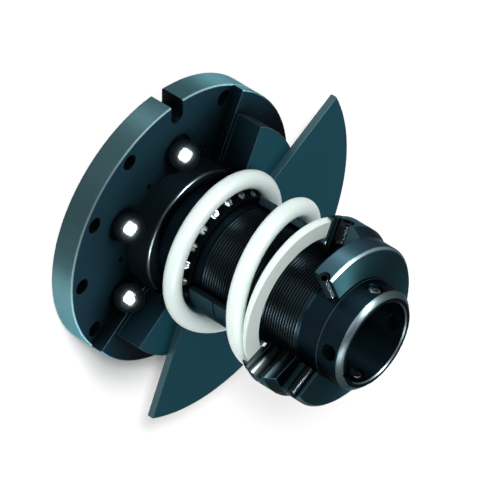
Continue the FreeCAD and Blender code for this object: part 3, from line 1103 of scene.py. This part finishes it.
def floor_material():
    material = bpy.data.materials.new("floor_white")
    material.use_nodes = True
    tree = material.node_tree
    tree.nodes.remove(tree.nodes["Principled BSDF"])
    matt = tree.nodes.new("ShaderNodeBsdfDiffuse")
    value(matt, "Color", FLOOR_SHADE)
    glow = tree.nodes.new("ShaderNodeEmission")
    both = tree.nodes.new("ShaderNodeAddShader")
    strength = spread(tree, seen_directly(tree), 0.0, 1.0, 0.0, FLOOR_GLOW)
    tree.links.new(strength, glow.inputs["Strength"])
    tree.links.new(matt.outputs[0], both.inputs[0])
    tree.links.new(glow.outputs[0], both.inputs[1])
    tree.links.new(both.outputs[0], tree.nodes["Material Output"].inputs["Surface"])
    return material


def build_floor():
    mesh = bpy.data.meshes.new("floor")
    far = FLOOR_REACH
    mesh.from_pydata([(-far, -far, 0), (far, -far, 0), (far, far, 0), (-far, far, 0)], [], [(0, 1, 2, 3)])
    mesh.materials.append(floor_material())
    floor = show("floor", mesh)
    floor.location.z = -FLOOR_DROP
    return floor


def build_world():
    world = bpy.data.worlds.new("studio")
    world.use_nodes = True
    tree = world.node_tree
    back = tree.nodes["Background"]
    value(back, "Color", (1, 1, 1, 1))
    strength = spread(tree, seen_directly(tree), 0.0, 1.0, WORLD_LIGHT, WORLD_SEEN)
    tree.links.new(strength, back.inputs["Strength"])
    bpy.context.scene.world = world


def group(name, members):
    """A collection that lamps can be linked to."""
    made = bpy.data.collections.new(name)
    for member in members:
        made.objects.link(member)
    return made


def place_lamp(light, way, distance, only):
    """Puts a lamp's object on one side of the studio, aimed at the middle."""
    lamp = show(light.name, light)
    lamp.location = LAMP_AIM + way * distance
    lamp.rotation_mode = "QUATERNION"
    lamp.rotation_quaternion = (-way).to_track_quat("-Z", "Y")
    if only:
        lamp.light_linking.receiver_collection = only
    return lamp


def build_lamp(name, azimuth, elevation, distance, size, power, only=None):
    light = bpy.data.lights.new(name, "AREA")
    light.shape = "RECTANGLE"
    light.size, light.size_y = size
    light.energy = power
    return place_lamp(light, direction(azimuth, elevation), distance, only)


def build_shine(name, azimuth, elevation, size, power, only=None):
    """A lamp that shows in gloss alone, and leaves matt surfaces as they are."""
    lamp = build_lamp(name, azimuth, elevation, SHINE_DISTANCE, size, power, only)
    lamp.visible_diffuse = False


def build_sun(name, azimuth, elevation, strength, angle, only, blocker=None):
    """An even light for the floor alone, which keeps the white even and draws the shadow."""
    light = bpy.data.lights.new(name, "SUN")
    light.energy = strength
    light.angle = angle
    sun = place_lamp(light, direction(azimuth, elevation), SUN_DISTANCE, only)
    if blocker:
        sun.light_linking.blocker_collection = blocker


def build_camera():
    data = bpy.data.cameras.new("camera")
    data.lens = CAMERA_LENS
    data.sensor_width = CAMERA_SENSOR
    data.clip_start = CAMERA_NEAR
    data.clip_end = CAMERA_FAR
    camera = show("camera", data)
    back = direction(CAMERA_AZIMUTH, CAMERA_ELEVATION)
    place = Matrix.Translation((Vector(CAMERA_AIM) + back * CAMERA_DISTANCE) * MM)
    turn = (-back).to_track_quat("-Z", "Y").to_matrix().to_4x4()
    camera.matrix_world = place @ turn @ Matrix.Rotation(math.radians(CAMERA_ROLL), 4, "Z")
    bpy.context.scene.camera = camera


# The object
build_hub()
collar = group("collar_side", [build_collar()])
build_end_screws()
screws = group("screws", build_ring_screws())
build_rollers()
build_spring()
ground = build_ground_pieces()
flange = group("flange_side", [ground["drive_flange"], ground["ball_cage_plate"]])
ring = group("ring_side", [ground["lock_ring"]])
disc = group("disc_side", [ground["trip_disc"]])
balls = group("balls", [build_ball(f"detent_ball_{i + 1}") for i in range(BALL_COUNT)])

# The studio
above = group("above", [shown for shown in bpy.context.scene.objects if shown.type == "MESH"])
below = group("below", [build_floor()])
build_world()
build_lamp("key", azimuth=9.0, elevation=36.0, distance=KEY_DISTANCE, size=(0.9, 0.9), power=16.0, only=above)
build_sun("floor_light", azimuth=8.4, elevation=29.9, strength=3.7, angle=0.12, only=below)
build_sun("disc_light", azimuth=4.8, elevation=30.1, strength=2.9, angle=0.12, only=below, blocker=disc)
build_sun("base_light", azimuth=-2.0, elevation=24.5, strength=9.1, angle=0.32, only=below, blocker=flange)
build_shine("shine_left", azimuth=-50.0, elevation=50.0, size=(0.3, 0.5), power=48.0)
build_shine("shine_right", azimuth=88.0, elevation=48.0, size=(0.3, 0.5), power=13.0)
build_shine("rim_left", azimuth=-105.0, elevation=12.0, size=(0.5, 0.4), power=50.0, only=flange)
build_shine("rim_front", azimuth=-35.0, elevation=8.0, size=(0.2, 0.3), power=6.0, only=flange)
build_shine("lock_shine", azimuth=-56.0, elevation=10.0, size=(0.15, 0.3), power=16.0, only=ring)
build_shine("screw_front", azimuth=-25.0, elevation=54.0, size=(0.12, 0.12), power=60.0, only=screws)
build_shine("screw_side", azimuth=71.0, elevation=53.0, size=(0.12, 0.12), power=60.0, only=screws)
build_shine("rim_right", azimuth=129.0, elevation=12.0, size=(1.6, 0.4), power=112.0, only=flange)
build_shine("ball_shine", azimuth=12.0, elevation=32.0, size=(2.2, 2.2), power=7500.0, only=balls)
build_shine("collar_left", azimuth=-50.0, elevation=50.0, size=(0.18, 0.18), power=300.0, only=collar)
build_shine("collar_right", azimuth=88.0, elevation=48.0, size=(0.18, 0.18), power=280.0, only=collar)
build_camera()
bpy.context.scene.view_settings.view_transform = "Standard"
